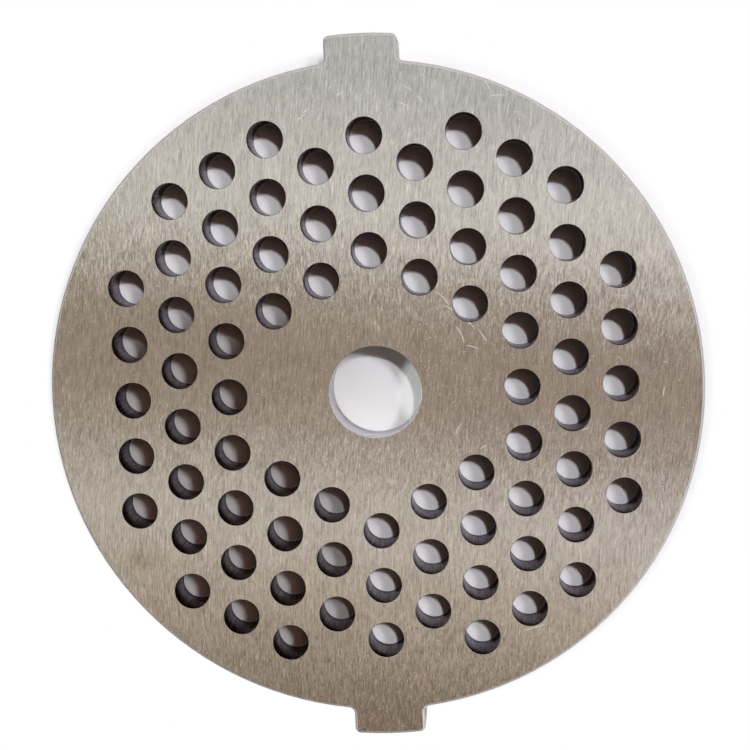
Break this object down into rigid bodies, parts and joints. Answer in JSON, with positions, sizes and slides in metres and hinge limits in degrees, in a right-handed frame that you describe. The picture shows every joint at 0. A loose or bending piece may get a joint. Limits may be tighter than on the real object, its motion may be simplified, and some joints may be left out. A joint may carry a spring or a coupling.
{
  "type": "meat grinder plate",
  "caption": "Flat round perforated stainless plate for fine mince, with a central spindle bore and two opposite lugs that key it in a grinder head.",
  "frame": {"origin": "centre of the spindle bore on the plate's lower face", "axes": "+Z along the bore axis, square to the plate and up towards the knife side; +Y along the line through the two lugs; +X across it"},
  "size_m": [0.0544, 0.0588, 0.0035],
  "materials": {
    "stainless_plate": "flat ground stainless steel with a fine straight grain from lug to lug, light handling scuffs, sharp hole edges"
  },
  "bodies": {
    "root": {"grinder_plate": "stainless_plate"}
  },
  "joints": []
}
